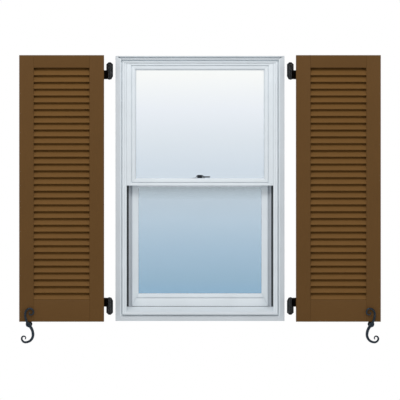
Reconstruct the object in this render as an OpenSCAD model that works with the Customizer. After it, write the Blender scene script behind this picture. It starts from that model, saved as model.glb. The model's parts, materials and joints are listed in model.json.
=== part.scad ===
// Pair of fixed-louvre shutters on pintle hinges, with S-shaped dogs, beside a single-hung window.
// Millimetres. X runs along the wall, -Y points outdoors, +Z is up.
// The wall's outer face is the plane y = 0. The origin is the middle of the window's lower edge there.

/* [Window frame] */
// Overall width of the window unit
window_w = 806; // [640:1:1000]
// Overall height of the window unit
window_h = 1264; // [1000:1:1600]
// Depth of the frame behind the wall face
frame_depth = 72; // [72:1:100]
// Width by which the moulding laps over the wall
wall_lap = 19; // [12:1:22]
// Distance that the nose stands in front of the wall
nose_front = 22; // [20:1:24]
// Wall thickness of the hollow lineals
lineal_wall = 2.5; // [1.8:0.1:3]
// Height of the sill where the lower sash closes on it
sill_h = 67; // [64:1:80]

/* [Sashes] */
// Height of the underside of the upper sash's meeting rail
meeting_z = 646; // [540:1:760]
// Thickness of each glass pane
pane_t = 3; // [3:0.5:5]
// Gap between the two panes of a unit
pane_gap = 12; // [9:1:12]
// Depth by which the glass sits inside the sash
glass_bite = 15; // [10:1:18]
// Radius of the balance rods
rod_r = 3; // [2:0.5:3.5]
// Clear radius between a balance rod and its tube
rod_clear = 1; // [0.5:0.1:1.5]
// Radial wall of the balance tubes
tube_wall = 2.5; // [1.5:0.5:3]

/* [Shutters] */
// Thickness of the stiles and rails
shutter_t = 32; // [28:1:36]
// Width of the stiles
stile_w = 69; // [55:1:85]
// Height of the top rail
top_rail_h = 60; // [50:1:80]
// Height of the bottom rail
bottom_rail_h = 104; // [80:1:120]
// Rise of each louvre over the one below, before it is fitted to the opening
louvre_step = 32.7; // [27:0.1:40]
// Length of a louvre's section
louvre_chord = 42; // [35:1:45]
// Thickness of a louvre
louvre_t = 7; // [5:0.5:9]
// Tilt of the louvres from upright
louvre_tilt = 35; // [30:1:38]
// Depth of the grooves that hold the louvre ends
housing = 8; // [5:1:12]
// Length of the rails' tenons
tenon_l = 35; // [20:1:45]
// Distance by which the closed shutters cover the window's sides
side_lap = 2; // [0:0.5:6]
// Distance by which the shutters pass the window's top and bottom
end_lap = 2; // [0:0.5:6]
// Gap between the two shutters when closed
closed_gap = 4; // [3:0.5:8]
// Space between the wall and an open shutter
standoff = 20; // [16:1:22]

/* [Hinges] */
// Radius of the hinge pins
pin_r = 5; // [4:0.5:6]
// Radial clearance of the pins in the eyes
pin_clear = 0.05; // [0.03:0.01:0.1]
// Distance of the pin axis from the wall
pin_out = 40; // [39:0.5:46]
// Distance of the pin axis from the shutter's edge
pin_offset = 26; // [24:1:32]
// Height of the leaves and their eyes
leaf_h = 43; // [34:1:55]
// Thickness of the leaves
leaf_t = 4; // [3:0.5:5]
// Length of leaf on the back of the stile
leaf_l = 58; // [50:1:64]
// Distance of the leaves' middles from the shutter's ends
leaf_inset = 92; // [75:1:120]
// Width of the wall plates
plate_w = 32; // [28:1:40]
// Thickness of the wall plates
plate_t = 5; // [4:0.5:8]
// Height of the fixed knuckles
knuckle_h = 26; // [20:1:32]

/* [Shutter dogs] */
// Distance of each dog's pivot from the shutter's outer edge
dog_inset = 44; // [40:1:80]
// Distance of the dog's pivot below the shutter
dog_drop = 13; // [12:0.5:18]
// Thickness of the S hooks
dog_t = 10; // [8:1:14]
// Radius of the spigot that the S hook turns on
spigot_r = 4.5; // [3.5:0.5:5]

/* [Sash lock] */
// Length of the thumb lever from its pivot
lever_l = 48; // [40:1:60]
// Radius of the lock's domed hub
lock_hub_r = 19; // [15:1:20]

/* [Hidden] */
$fn = 48;
half_w = window_w / 2;

// Colours
vinyl = "#e4e8ec";
shutter_brown = "#624729";
louvre_brown = "#6c4e2c";
iron = "#24262a";
steel = "#a9adb0";
seal_grey = "#7d8184";
pane_tint = [0.7, 0.82, 0.9, 0.35];

// Moulding: steps across its width, from the outer edge inwards
flange_front = 12;
lip_front = 17;
lip_back = 6;
groove_floor = 3;
jamb_step = 21;
jamb_flange = 27.5;
jamb_groove = 33;
jamb_nose = 43;
jamb_lip = 53;
head_rebate_low = 5;
head_rebate_high = 11;
head_rebate_floor = 2;
head_flange = 19;
head_groove = 25.5;
head_nose = 33;
head_lip = 36;
sill_flange = 25;
sill_groove = 30;
sill_nose = 43;
arris = 2;

// Tracks: depths behind the wall face, and widths from the window's outer edge
pocket_w = 41;
stop_w = 70;
stop_front = 24;
stop_back = 34;
stop_groove = 6;
stop_groove_end = 62.3;
stop_to_bead = 9;
seal_side_gap = 0.4;
seal_depth = 4.5;
room_stop_w = 66;
room_stop_t = 6;
room_stop_front = frame_depth - room_stop_t;
room_stop_h = 15;

// Sashes: depths of their faces, shared by stiles and rails
fit = 0.5;
upper_front = -16;
upper_back = 20;
upper_glass = -6;
lower_front = stop_front + 4;
lower_back = room_stop_front - 2;
lower_glass = lower_front + 10;
unit_t = 2 * pane_t + pane_gap;
glass_play = 1;
leg_step = 3;
leg_end_t = 2.5;
quirk_w = 3;
quirk_d = 6.5;
bead_set = 1;
cove_w = 4.5;
cove_set = 4;
upper_face_w = 22.5;
lower_face_w = 5.5;
upper_leg_w = 22;
lower_leg_w = 24;
upper_edge = pocket_w + 2;
upper_sight = jamb_lip + fit + upper_face_w + upper_leg_w;
lower_edge = stop_groove_end;
lower_visible = stop_w + stop_to_bead;
lower_sight = lower_visible + lower_face_w + lower_leg_w;
upper_rail_face = 8.5;
upper_rail_sight = head_lip + fit + upper_rail_face + upper_leg_w;
meeting_face = 12.5;
meeting_leg = 22.5;
meeting_h = meeting_face + meeting_leg;
meeting_top = meeting_z + meeting_h;
meeting_back = lower_front - 2;
sash_gap = 2;
bottom_z = sill_h + sash_gap;
bottom_face = 38.5;
bottom_leg = 23;
bottom_sight = bottom_z + bottom_face + bottom_leg;
lower_meeting_h = 41;
lift_z = bottom_z + 27;
lift_t = 4;
lift_out = 14;
spacer_w = 9;
bead_gap = 0.3;
seal_gap = 0.3;
pile_drop = 14;
pile_h = 6;
bulb_w = 10;

// Balances
balance_x = (pocket_w + lower_edge) / 2;
balance_y = (stop_back + room_stop_front) / 2;
tube_r = rod_r + rod_clear + tube_wall;
shoe_h = 30;
shoe_z = bottom_z + 4;
tube_z = meeting_top - 16;
rod_top = meeting_top + 19;

// Shutters
shutter_w = half_w + side_lap - closed_gap / 2;
shutter_h = window_h + 2 * end_lap;
pin_x = closed_gap / 2 + shutter_w + pin_offset;
near_x = pin_x + pin_offset;
far_x = near_x + shutter_w;
shutter_z = -end_lap;
shutter_y = -standoff - shutter_t;
mid_y = -standoff - shutter_t / 2;
opening_w = shutter_w - 2 * stile_w;
opening_h = shutter_h - top_rail_h - bottom_rail_h;
opening_z = shutter_z + bottom_rail_h;
louvre_rise = (louvre_chord - louvre_t) * cos(louvre_tilt) + louvre_t;
louvre_end_gap = 0.05;
louvre_run = opening_h - louvre_rise - 2 * louvre_end_gap;
louvre_count = floor(louvre_run / louvre_step + 0.5) + 1;
louvre_pitch = louvre_run / (louvre_count - 1);
louvre_clear = 0.2;
tenon_t = 12;
tenon_shoulder = 16;
weather_h = 11;
weather_d = 3;

// Hinges
eye_r = 8;
leaf_lift = 0.3;
crank_gap = 1;
leaf_z_high = shutter_z + shutter_h - leaf_inset;
leaf_z_low = shutter_z + leaf_inset;
leaf_screw_r = 2.2;
leaf_screw_head_r = 4;
leaf_screw_head_t = 2;
leaf_screw_l = 22;
leaf_screw_x = 20;
leaf_screw_pitch_x = 30;
leaf_screw_pitch_z = 20;
plate_above = 13;
plate_shoulder = 10;
plate_chamfer = 15;
plate_chamfer_w = 8;
neck_w = 12;
pintle_screw_r = 2.5;
pintle_hole_clear = 0.3;
pintle_screw_head_r = 3.8;
pintle_screw_head_t = 2.5;
pintle_screw_l = 45;
pintle_screw_x = 9;
pintle_screw_low = 12;

// Dogs
dog_x = far_x - dog_inset;
dog_z = shutter_z - dog_drop;
dog_gap = 3;
dog_back = shutter_y - dog_gap;
dog_boss_r = 11.5;
post_r = 5.5;
post_flange_r = 16;
post_flange_t = 4;
lag_r = 5;
lag_l = 45;
cap_t = 8;
cap_r = 12;
cap_gap = 0.3;
spigot_clear = 0.05;

// Upper hook and lower scroll of the S, as chains of tangent arcs: [radius, clockwise turn, points]
upper_start = 122;
upper_arcs = [[95, 32, 7], [27, 60, 6], [17, 120, 11], [13, 90, 8], [7, 130, 9]];
upper_widths = [11.2, 5.4];
lower_start = -40;
lower_arcs = [[63, 50, 7], [36, 90, 12], [18, 90, 9], [11, 90, 8], [8, 130, 9]];
lower_widths = [15.2, 5.6];

// Installation screw holes through the jambs, beside the lower sash's track
install_r = 3;
install_y = 14;
install_low = 200;
install_high = meeting_z - 90;

// Lock: a finger under the lever's cam swings round behind the keeper's curved lip
lock_y = lower_front + 12;
lock_plate_t = 3;
lock_plate_left = -38;
lock_plate_slope = 16;
lock_plate_right = 22;
lock_plate_edge_t = 0.8;
lock_plate_half = 11;
lock_pivot_r = 12;
lock_hub_h = 7;
lock_dome_h = 16;
lock_dome_top_r = 11.5;
lever_w = 9;
lever_t = 3;
thumb_low = 3.6;
thumb_t = 6;
lever_gap = 0.3;
cam_w = 10;
lip_r = 17;
lip_t = 2.5;
lip_h = 6.8;
lip_half_angle = 28;
finger_r = lip_r + lip_t + 1.2;
finger_t = 3.8;
finger_low = lock_plate_t + 0.6;
keeper_plate_t = 2;
keeper_half = 24;

// ---------------------------------------------------------------- helpers

module along_x(x0, x1)
    translate([x0, 0, 0])
        rotate([90, 0, 90])
            linear_extrude(x1 - x0)
                children();

module along_z(z0, z1)
    translate([0, 0, z0])
        linear_extrude(z1 - z0)
            children();

// Prism of an x-z outline, between two depths
module through_y(y0, y1)
    translate([0, y1, 0])
        rotate([90, 0, 0])
            linear_extrude(y1 - y0)
                children();

module block(low, high)
    translate(low)
        cube(high - low);

module peg_y(x, z, y0, y1, r)
    translate([x, y1, z])
        rotate([90, 0, 0])
            cylinder(h = y1 - y0, r = r);

module on_right()
    mirror([1, 0, 0])
        children();

// Rectangle with round corners, from its low corner
module soft_rect(size, r) {
    translate([r, 0])
        square([size.x - 2 * r, size.y]);
    translate([0, r])
        square([size.x, size.y - 2 * r]);
    for (x = [r, size.x - r], y = [r, size.y - r])
        translate([x, y])
            circle(r);
}

// ---------------------------------------------------------------- window frame

// Every left-hand piece is drawn at negative x, with u measured inwards from the window's edge
function left_x(points) = [for (p = points) [p.x - half_w, p.y]];
function from_top(points) = [for (p = points) [p.y, window_h - p.x]];
function from_zero(points) = [for (p = points) [p.y, p.x]];

jamb_moulding = [
    [0, 0], [0, -flange_front], [jamb_step, -flange_front], [jamb_step, -flange_front - arris],
    [jamb_flange, -flange_front - arris], [jamb_flange, -groove_floor], [jamb_groove, -groove_floor],
    [jamb_groove, arris - nose_front], [jamb_groove + arris, -nose_front],
    [jamb_nose - arris, -nose_front], [jamb_nose, arris - nose_front], [jamb_nose, -lip_front],
    [jamb_lip, -lip_front], [jamb_lip, -lip_back], [pocket_w, -lip_back], [pocket_w, 0]
];

head_moulding = [
    [0, 0], [0, -flange_front], [head_rebate_low, -flange_front], [head_rebate_low, -head_rebate_floor],
    [head_rebate_high, -head_rebate_floor], [head_rebate_high, -flange_front - arris],
    [head_flange, -flange_front - arris], [head_flange, -groove_floor], [head_groove, -groove_floor],
    [head_groove, arris - nose_front], [head_groove + arris, -nose_front], [head_lip, -lip_front],
    [head_lip, 0]
];

// Height of the sill's slope where it crosses the wall face
sill_at_wall = sill_nose + (sill_h - sill_nose) * (nose_front - arris) / (nose_front - arris + stop_front);

sill_moulding = [
    [0, 0], [0, -flange_front], [sill_flange, -flange_front], [sill_flange, -groove_floor],
    [sill_groove, -groove_floor], [sill_groove, arris - nose_front], [sill_groove + arris, -nose_front],
    [sill_nose - arris, -nose_front], [sill_nose, arris - nose_front], [sill_at_wall, 0]
];

// Where the jamb's moulding meets the head's and the sill's, as [u, distance from the end]
head_seam = [
    [0, 0], [jamb_step, head_rebate_high], [jamb_flange, head_flange], [jamb_groove, head_groove],
    [jamb_nose, head_nose], [jamb_lip, head_lip]
];
sill_seam = [[0, 0], [jamb_flange, sill_flange], [jamb_groove, sill_groove], [jamb_nose, sill_nose]];

function seam_up(z, seam) = [for (p = seam) [p.x - half_w, z - p.y]];
function seam_down(seam) = [for (p = seam) [p.x - half_w, p.y]];
function reversed(list) = [for (i = [len(list) - 1:-1:0]) list[i]];
function mirrored(list) = [for (p = list) [-p.x, p.y]];

module jamb_zone()
    through_y(-nose_front - 1, stop_back)
        polygon(concat(
            seam_down(sill_seam), [[jamb_nose - half_w, sill_nose - 1], [jamb_lip - half_w, sill_nose - 1]],
            reversed(seam_up(window_h, head_seam))
        ));

module sill_body() {
    intersection() {
        along_x(-half_w, half_w)
            polygon(from_zero(sill_moulding));
        through_y(-nose_front - 1, 0)
            polygon(concat(
                seam_down(sill_seam), [[jamb_nose - half_w, sill_h + 1], [half_w - jamb_nose, sill_h + 1]],
                reversed(mirrored(seam_down(sill_seam)))
            ));
    }
    along_x(wall_lap - half_w, half_w - wall_lap)
        difference() {
            polygon([
                [0, wall_lap], [0, sill_at_wall], [stop_front, sill_h], [room_stop_front, sill_h],
                [room_stop_front, sill_h + room_stop_h], [frame_depth, sill_h + room_stop_h],
                [frame_depth, wall_lap]
            ]);
            polygon([
                [lineal_wall, wall_lap + lineal_wall], [lineal_wall, sill_at_wall - 2 * lineal_wall],
                [stop_front, sill_h - 2 * lineal_wall], [frame_depth - lineal_wall, sill_h - 2 * lineal_wall],
                [frame_depth - lineal_wall, wall_lap + lineal_wall]
            ]);
        }
}

module frame_sill()
    color(vinyl)
        sill_body();

module frame_head()
    color(vinyl) {
        intersection() {
            along_x(-half_w, half_w)
                polygon(from_top(head_moulding));
            through_y(-nose_front - 1, 0)
                polygon(concat(
                    seam_up(window_h, head_seam), reversed(mirrored(seam_up(window_h, head_seam)))
                ));
        }
        along_x(wall_lap - half_w, half_w - wall_lap)
            difference() {
                polygon([
                    [0, window_h - wall_lap], [0, window_h - pocket_w],
                    [frame_depth, window_h - pocket_w], [frame_depth, window_h - wall_lap]
                ]);
                translate([lineal_wall, window_h - pocket_w + lineal_wall])
                    square([frame_depth - 2 * lineal_wall, pocket_w - wall_lap - 2 * lineal_wall]);
            }
    }

module jamb_body()
    difference() {
        union() {
            intersection() {
                along_z(0, window_h)
                    polygon(left_x(jamb_moulding));
                jamb_zone();
            }
            along_z(sill_h, window_h - pocket_w)
                difference() {
                    polygon(left_x([
                        [wall_lap, 0], [pocket_w, 0], [pocket_w, stop_front], [jamb_lip, stop_front],
                        [jamb_lip, stop_front + stop_groove], [stop_groove_end, stop_front + stop_groove],
                        [stop_groove_end, stop_front], [stop_w, stop_front], [stop_w, stop_back],
                        [pocket_w, stop_back], [pocket_w, room_stop_front], [room_stop_w, room_stop_front],
                        [room_stop_w, frame_depth], [wall_lap, frame_depth]
                    ]));
                    translate([wall_lap + lineal_wall - half_w, stop_back - 6])
                        square([pocket_w - wall_lap - 2 * lineal_wall, frame_depth - stop_back + 6 - lineal_wall]);
                }
        }
        sill_body();
        for (z = [install_low, install_high])
            translate([wall_lap - half_w - 1, install_y, z])
                rotate([0, 90, 0])
                    cylinder(h = pocket_w - wall_lap + 2, r = install_r);
    }

module frame_left_jamb()
    color(vinyl)
        jamb_body();

module frame_right_jamb()
    color(vinyl)
        on_right()
            jamb_body();

// ---------------------------------------------------------------- sashes

// Glazing leg from the end of a member's face to its sight line, as [distance inwards, depth]:
// either a quirk, a flat bead and a cove, or a plain slope
function beaded_leg(start, sight, front, glass) = [
    [start, front], [start, front + quirk_d], [start + quirk_w, front + quirk_d],
    [start + quirk_w, front + bead_set], [sight - cove_w, front + bead_set],
    [sight - cove_w, front + cove_set], [sight, glass - leg_end_t], [sight, glass]
];
function sloped_leg(start, sight, front, glass) = [
    [start, front], [start, front + leg_step], [sight, glass - leg_end_t], [sight, glass]
];

// Section of a sash member: its face, its leg, then the rebate for the glass and the back part
function sash_section(face, leg, edge, rebate, back) =
    let (front = leg[0].y, sight = leg[len(leg) - 1].x, glass = leg[len(leg) - 1].y)
        concat([[face, front]], leg, [
            [sight - glass_bite - glass_play, glass], [sight - glass_bite - glass_play, back],
            [edge, back], [edge, rebate], [face, rebate]
        ]);

upper_stile_section = sash_section(
    jamb_lip + fit, beaded_leg(jamb_lip + fit + upper_face_w, upper_sight, upper_front, upper_glass),
    upper_edge, -lip_back + fit, upper_back
);
upper_rail_section = sash_section(
    head_lip + fit, beaded_leg(head_lip + fit + upper_rail_face, upper_rail_sight, upper_front, upper_glass),
    pocket_w + fit, -fit, upper_back
);
lower_stile_section = sash_section(
    lower_visible, sloped_leg(lower_visible + lower_face_w, lower_sight, lower_front, lower_glass),
    lower_edge, stop_back + fit, lower_back
);
meeting_leg_section = beaded_leg(meeting_z + meeting_face, meeting_top, upper_front, upper_glass);
bottom_leg_section = beaded_leg(bottom_z + bottom_face, bottom_sight, lower_front, lower_glass);

function chamber(edge, inner, front, back) = [
    [edge + lineal_wall, front + lineal_wall], [inner - lineal_wall, front + lineal_wall],
    [inner - lineal_wall, back - lineal_wall], [edge + lineal_wall, back - lineal_wall]
];

module upper_stile_zone()
    through_y(upper_front - 1, upper_back + 1)
        polygon([
            [upper_edge - half_w, meeting_z], [jamb_lip + fit - half_w, meeting_z],
            [jamb_lip + fit + upper_face_w - half_w, meeting_z + meeting_face],
            [upper_sight - half_w, meeting_top],
            [upper_sight - half_w, window_h - upper_rail_sight],
            [jamb_lip + fit + upper_face_w - half_w, window_h - head_lip - fit - upper_rail_face],
            [jamb_lip + fit - half_w, window_h - head_lip - fit], [upper_edge - half_w, window_h - head_lip - fit]
        ]);

module upper_stile()
    difference() {
        intersection() {
            along_z(meeting_z, window_h - head_lip - fit)
                difference() {
                    polygon(left_x(upper_stile_section));
                    polygon(left_x(chamber(
                        upper_edge, upper_sight - glass_bite - glass_play, upper_glass, upper_back
                    )));
                }
            upper_stile_zone();
        }
        block(
            [-half_w, -fit, window_h - pocket_w - fit],
            [upper_sight - half_w, upper_back + 1, window_h]
        );
    }

module upper_sash_left_stile()
    color(vinyl)
        upper_stile();

module upper_sash_right_stile()
    color(vinyl)
        on_right()
            upper_stile();

// Rails fill what lies between the two stiles' seams
module between_upper_stiles()
    difference() {
        children();
        upper_stile_zone();
        on_right()
            upper_stile_zone();
        block([-half_w, upper_front - 2, 0], [upper_edge - half_w, upper_back + 2, window_h]);
        block([half_w - upper_edge, upper_front - 2, 0], [half_w, upper_back + 2, window_h]);
    }

module upper_sash_top_rail()
    color(vinyl)
        between_upper_stiles()
            along_x(jamb_lip + fit - half_w, half_w - jamb_lip - fit)
                polygon(from_top(upper_rail_section));

module upper_sash_meeting_rail()
    color(vinyl)
        difference() {
            between_upper_stiles()
                along_x(jamb_lip + fit - half_w, half_w - jamb_lip - fit)
                    polygon(concat([[upper_front, meeting_z]], from_zero(meeting_leg_section), [
                        [upper_glass, meeting_top - glass_bite - glass_play],
                        [upper_glass + unit_t, meeting_top - glass_bite - glass_play],
                        [upper_glass + unit_t, meeting_top], [meeting_back, meeting_top],
                        [meeting_back, meeting_z]
                    ]));
            for (side = [-1, 1])
                block(
                    [side > 0 ? half_w - stop_w - fit : -half_w, upper_back + bead_gap, 0],
                    [side > 0 ? half_w : stop_w + fit - half_w, meeting_back + 1, window_h]
                );
        }

// Flat ring on the x-z plane between two rectangles
module ring(half_outer, low, high, width, y0, y1)
    difference() {
        block([-half_outer, y0, low], [half_outer, y1, high]);
        block([width - half_outer, y0 - 1, low + width], [half_outer - width, y1 + 1, high - width]);
    }

upper_glass_x = half_w - upper_sight + glass_bite;
upper_glass_low = meeting_top - glass_bite;
upper_glass_high = window_h - upper_rail_sight + glass_bite;
lower_glass_x = half_w - lower_sight + glass_bite;
lower_glass_low = bottom_sight - glass_bite;
lower_top = meeting_top;
lower_glass_high = lower_top - lower_meeting_h + glass_bite;

module pane(half_x, low, high, y)
    block([-half_x, y, low], [half_x, y + pane_t, high]);

// Four snap-in beads on the room side: uprights between the two level ones
module beads(half_x, low, high, width, y0, y1) {
    for (z = [low, high - width])
        block([-half_x, y0, z], [half_x, y1, z + width]);
    for (x = [-half_x, half_x - width])
        block([x, y0, low + width], [x + width, y1, high - width]);
}

module upper_glazing_beads()
    color(vinyl)
        difference() {
            beads(
                upper_glass_x + glass_play, upper_glass_low - glass_play, upper_glass_high + glass_play,
                glass_bite + glass_play, upper_glass + unit_t, upper_back
            );
            block([-half_w, upper_glass, meeting_z], [half_w, meeting_back, meeting_top]);
        }

module upper_outer_pane()
    color(pane_tint)
        pane(upper_glass_x, upper_glass_low, upper_glass_high, upper_glass);

module upper_inner_pane()
    color(pane_tint)
        pane(upper_glass_x, upper_glass_low, upper_glass_high, upper_glass + pane_t + pane_gap);

module upper_pane_spacer()
    color(steel)
        ring(
            upper_glass_x, upper_glass_low, upper_glass_high, spacer_w,
            upper_glass + pane_t, upper_glass + pane_t + pane_gap
        );

module lower_stile_zone()
    through_y(lower_front - 1, lower_back + 1)
        polygon([
            [lower_edge - half_w, bottom_z], [lower_visible - half_w, bottom_z],
            [lower_sight - half_w, bottom_sight], [lower_sight - half_w, lower_top - lower_meeting_h],
            [lower_visible - half_w, lower_top], [lower_edge - half_w, lower_top]
        ]);

module lower_stile()
    intersection() {
        along_z(bottom_z, lower_top)
            difference() {
                polygon(left_x(lower_stile_section));
                polygon(left_x(chamber(
                    lower_edge, lower_sight - glass_bite - glass_play, stop_back + fit, lower_back
                )));
            }
        lower_stile_zone();
    }

module lower_sash_left_stile()
    color(vinyl)
        lower_stile();

module lower_sash_right_stile()
    color(vinyl)
        on_right()
            lower_stile();

module between_lower_stiles()
    difference() {
        along_x(lower_visible - half_w, half_w - lower_visible)
            children();
        lower_stile_zone();
        on_right()
            lower_stile_zone();
    }

module lower_sash_bottom_rail()
    color(vinyl)
        between_lower_stiles()
            polygon(concat([[lower_front, bottom_z]], from_zero(bottom_leg_section), [
                [lower_glass, bottom_sight - glass_bite - glass_play],
                [lower_back, bottom_sight - glass_bite - glass_play], [lower_back, lift_z + lift_t],
                [lower_back + lift_out, lift_z + lift_t], [lower_back + lift_out, lift_z],
                [lower_back, lift_z], [lower_back, bottom_z]
            ]));

module lower_sash_meeting_rail()
    color(vinyl)
        between_lower_stiles()
            polygon([
                [lower_front, lower_top], [lower_front, lower_top - lower_meeting_h + lower_leg_w],
                [lower_front + leg_step, lower_top - lower_meeting_h + lower_leg_w],
                [lower_glass - leg_end_t, lower_top - lower_meeting_h],
                [lower_glass, lower_top - lower_meeting_h],
                [lower_glass, lower_glass_high + glass_play],
                [lower_back, lower_glass_high + glass_play], [lower_back, lower_top]
            ]);

module lower_glazing_beads()
    color(vinyl)
        beads(
            lower_glass_x + glass_play, lower_glass_low - glass_play, lower_glass_high + glass_play,
            glass_bite + glass_play, lower_glass + unit_t, lower_back
        );

module lower_outer_pane()
    color(pane_tint)
        pane(lower_glass_x, lower_glass_low, lower_glass_high, lower_glass);

module lower_inner_pane()
    color(pane_tint)
        pane(lower_glass_x, lower_glass_low, lower_glass_high, lower_glass + pane_t + pane_gap);

module lower_pane_spacer()
    color(steel)
        ring(
            lower_glass_x, lower_glass_low, lower_glass_high, spacer_w,
            lower_glass + pane_t, lower_glass + pane_t + pane_gap
        );

module meeting_rail_pile()
    color(seal_grey)
        block(
            [lower_sight - half_w, meeting_back + seal_gap, lower_top - pile_drop],
            [half_w - lower_sight, lower_front, lower_top - pile_drop + pile_h]
        );

// Strips in the groove of each jamb's stop
module track_seals()
    color(seal_grey)
        for (side = [-1, 1])
            block(
                [side < 0 ? jamb_lip + seal_side_gap - half_w : half_w - stop_groove_end + seal_side_gap,
                    stop_front + stop_groove - seal_depth, sill_h + seal_gap],
                [side < 0 ? stop_groove_end - seal_side_gap - half_w : half_w - jamb_lip - seal_side_gap,
                    stop_front + stop_groove, window_h - pocket_w - seal_gap]
            );

module sill_bulb_seal()
    color(seal_grey)
        block(
            [lower_visible - half_w, lower_glass, sill_h + seal_gap],
            [half_w - lower_visible, lower_glass + bulb_w, bottom_z]
        );

// ---------------------------------------------------------------- spiral balances

module balance_tube()
    color(steel)
        translate([balance_x - half_w, balance_y, 0])
            difference() {
                translate([0, 0, tube_z])
                    cylinder(h = window_h - pocket_w - tube_z, r = tube_r);
                translate([0, 0, tube_z - 1])
                    cylinder(h = window_h - pocket_w - tube_z - 4, r = rod_r + rod_clear);
            }

module balance_rod()
    color(steel)
        translate([balance_x - half_w, balance_y, shoe_z + shoe_h])
            cylinder(h = rod_top - shoe_z - shoe_h, r = rod_r);

module balance_shoe()
    color(seal_grey)
        block(
            [pocket_w + 1 - half_w, stop_back + 2, shoe_z],
            [lower_edge - half_w, room_stop_front - 2, shoe_z + shoe_h]
        );

module left_balance_tube() balance_tube();
module left_balance_rod() balance_rod();
module left_balance_shoe() balance_shoe();
module right_balance_tube() on_right() balance_tube();
module right_balance_rod() on_right() balance_rod();
module right_balance_shoe() on_right() balance_shoe();

// ---------------------------------------------------------------- sash lock

module at_lock()
    translate([0, lock_y, lower_top])
        children();

// Part of a ring about the lock's pivot, centred on the +X direction
module ring_sector(r, t, half_angle, z0, z1)
    translate([0, 0, z0])
        rotate([0, 0, -half_angle])
            rotate_extrude(angle = 2 * half_angle)
                translate([r, 0])
                    square([t, z1 - z0]);

module sash_lock_base()
    color(iron)
        at_lock() {
            through_y(-lock_plate_half, lock_plate_half)
                polygon([
                    [lock_plate_left, 0], [lock_plate_left, lock_plate_edge_t],
                    [lock_plate_left + lock_plate_slope, lock_plate_t], [lock_plate_right, lock_plate_t],
                    [lock_plate_right, 0]
                ]);
            cylinder(h = lock_hub_h, r = lock_pivot_r);
        }

// Lever unlocked: thumb piece towards +X, cam towards the room. It locks by turning half a turn.
module sash_lock_lever()
    color(iron)
        at_lock() {
            lever_z = lock_hub_h + lever_gap;
            translate([0, 0, lever_z])
                cylinder(h = lever_t, r = lock_hub_r);
            translate([0, 0, lever_z + lever_t])
                cylinder(h = lock_dome_h - lever_z - lever_t, r1 = lock_hub_r, r2 = lock_dome_top_r);
            block([lock_hub_r - 3, -lever_w / 2, thumb_low], [lever_l, lever_w / 2, thumb_low + thumb_t]);
            rotate([0, 0, 90]) {
                block([0, -cam_w / 2, lever_z], [finger_r + 1, cam_w / 2, lever_z + lever_t]);
                ring_sector(finger_r, finger_t, 13, finger_low, lever_z + lever_t);
            }
        }

module sash_lock_keeper()
    color(iron)
        at_lock() {
            block(
                [-keeper_half, upper_glass + unit_t + 1 - lock_y, 0],
                [keeper_half, meeting_back - lock_y, keeper_plate_t]
            );
            rotate([0, 0, -90])
                ring_sector(lip_r, lip_t, lip_half_angle, 0, lip_h);
        }

// ---------------------------------------------------------------- shutters (drawn on the right)

module louvre_section(extra)
    rotate(90 - louvre_tilt) {
        square([louvre_chord - louvre_t, louvre_t + 2 * extra], center = true);
        for (end = [-1, 1])
            translate([end * (louvre_chord - louvre_t) / 2, 0])
                circle(louvre_t / 2 + extra);
    }

module louvre_row(x0, x1, extra)
    for (i = [0:louvre_count - 1])
        along_x(x0, x1)
            translate([mid_y, opening_z + louvre_end_gap + louvre_rise / 2 + i * louvre_pitch])
                louvre_section(extra);

module tenon(x0, x1, rail_z, rail_h)
    block(
        [x0, mid_y - tenon_t / 2, rail_z + tenon_shoulder],
        [x1, mid_y + tenon_t / 2, rail_z + rail_h - tenon_shoulder]
    );

top_rail_z = shutter_z + shutter_h - top_rail_h;

module stile(x0, inner_x, sign)
    difference() {
        translate([x0, shutter_y, 0])
            along_z(shutter_z, shutter_z + shutter_h)
                soft_rect([stile_w, shutter_t], arris);
        for (rail = [[top_rail_z, top_rail_h], [shutter_z, bottom_rail_h - weather_h]])
            tenon(
                min(inner_x, inner_x + sign * tenon_l), max(inner_x, inner_x + sign * tenon_l), rail[0], rail[1]
            );
        louvre_row(
            min(inner_x + sign * housing, inner_x - sign), max(inner_x + sign * housing, inner_x - sign), louvre_clear
        );
    }

module hinge_stile()
    color(shutter_brown)
        difference() {
            stile(near_x, near_x + stile_w, -1);
            leaf_screw_holes(leaf_screw_r);
        }

module outer_stile()
    color(shutter_brown)
        stile(far_x - stile_w, far_x - stile_w, 1);

// The lower rail's front edge slopes under the last louvre, to shed water
module rail_section(h, slope_h, slope_d)
    difference() {
        soft_rect([shutter_t, h], arris);
        polygon([[-1, h - slope_h], [0, h - slope_h], [slope_d, h], [slope_d, h + 1], [-1, h + 1]]);
    }

module rail(z, h, slope_h, slope_d)
    color(shutter_brown) {
        translate([near_x + stile_w, 0, 0])
            along_x(0, opening_w)
                translate([shutter_y, z])
                    rail_section(h, slope_h, slope_d);
        tenon(near_x + stile_w - tenon_l, near_x + stile_w, z, h - slope_h);
        tenon(far_x - stile_w, far_x - stile_w + tenon_l, z, h - slope_h);
    }

module louvres()
    color(louvre_brown)
        louvre_row(near_x + stile_w - housing, far_x - stile_w + housing, 0);

// ---------------------------------------------------------------- hinges (drawn on the right)

leaf_y = -standoff;

// Cranked leaf: flat on the stile's back, bent round the shutter's edge, then into the eye
module leaf_plate(z)
    along_z(z - leaf_h / 2, z + leaf_h / 2)
        polygon([
            [near_x + leaf_l, leaf_y], [near_x + leaf_l, leaf_y + leaf_t],
            [near_x - leaf_t, leaf_y + leaf_t], [pin_x + 1, eye_r - pin_out - 1.5],
            [pin_x + eye_r - 2, 1.5 - pin_out], [near_x - crank_gap, leaf_y]
        ]);

module leaf_screw_places(z)
    for (x = [leaf_screw_x, leaf_screw_x + leaf_screw_pitch_x], dz = [-1, 1] * leaf_screw_pitch_z / 2)
        translate([near_x + x, 0, z + dz])
            children();

module leaf_screw_holes(r)
    for (z = [leaf_z_low, leaf_z_high])
        leaf_screw_places(z)
            peg_y(0, 0, leaf_y - leaf_screw_l, leaf_y + leaf_t + 1, r);

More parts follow.
